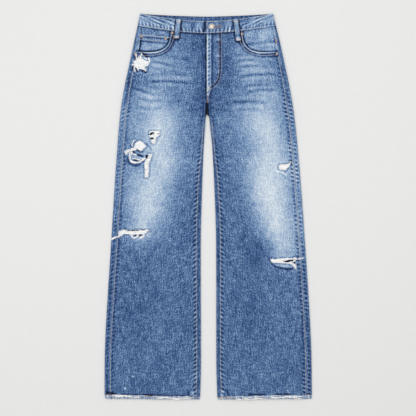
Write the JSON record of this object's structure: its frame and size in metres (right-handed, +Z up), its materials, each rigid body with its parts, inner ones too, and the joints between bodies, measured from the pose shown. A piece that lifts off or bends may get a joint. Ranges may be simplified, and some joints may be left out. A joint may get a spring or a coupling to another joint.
{
  "type": "ripped jeans",
  "caption": "Wide straight denim jeans with ripped thighs and knees, scooped front pockets, coin pocket, patch back pockets, button waist and raw frayed hems, laid flat with the front up.",
  "frame": {"origin": "under the middle of the whole garment, on the surface that it lies on", "axes": "+X towards the wearer's left, +Y from the hems to the waist, +Z up, out of the front of the garment"},
  "size_m": [0.592, 1.1016, 0.0143],
  "materials": {
    "denim_panels": "stonewashed indigo twill, pale where it is faded",
    "denim_trims": "indigo twill with worn pale edges and tonal blue stitching",
    "bare_yarns": "matt unwoven cotton yarns",
    "pocketing": "matt plain-woven cotton",
    "button_metal": "worn pale nickel over brass",
    "rivet_metal": "worn copper plating"
  },
  "bodies": {
    "root": {"front_leg_right": "denim_panels", "front_leg_left": "denim_panels", "back_leg_right": "denim_panels", "back_leg_left": "denim_panels", "yoke_right": "denim_panels", "yoke_left": "denim_panels", "pocket_facing_right": "denim_panels", "pocket_facing_left": "denim_panels", "fly_underlap": "denim_panels", "waistband": "denim_trims", "back_pocket_right": "denim_trims", "back_pocket_left": "denim_trims", "coin_pocket": "denim_trims", "belt_loop_front_right": "denim_trims", "belt_loop_front_left": "denim_trims", "belt_loop_back_right": "denim_trims", "belt_loop_back_centre": "denim_trims", "belt_loop_back_left": "denim_trims", "bare_yarns_thigh_upper": "bare_yarns", "bare_yarns_thigh_arch": "bare_yarns", "bare_yarns_thigh_bar": "bare_yarns", "bare_yarns_knee_right": "bare_yarns", "bare_yarns_thigh_outer": "bare_yarns", "bare_yarns_knee_left": "bare_yarns", "hem_fringe_right": "bare_yarns", "hem_fringe_left": "bare_yarns", "pocket_bag_right": "pocketing", "waist_button": "button_metal", "rivet_pocket_right_fly": "rivet_metal", "rivet_pocket_right_side": "rivet_metal", "rivet_pocket_left_fly": "rivet_metal", "rivet_pocket_left_side": "rivet_metal", "rivet_coin_pocket_side": "rivet_metal", "rivet_coin_pocket_fly": "rivet_metal"}
  },
  "joints": []
}
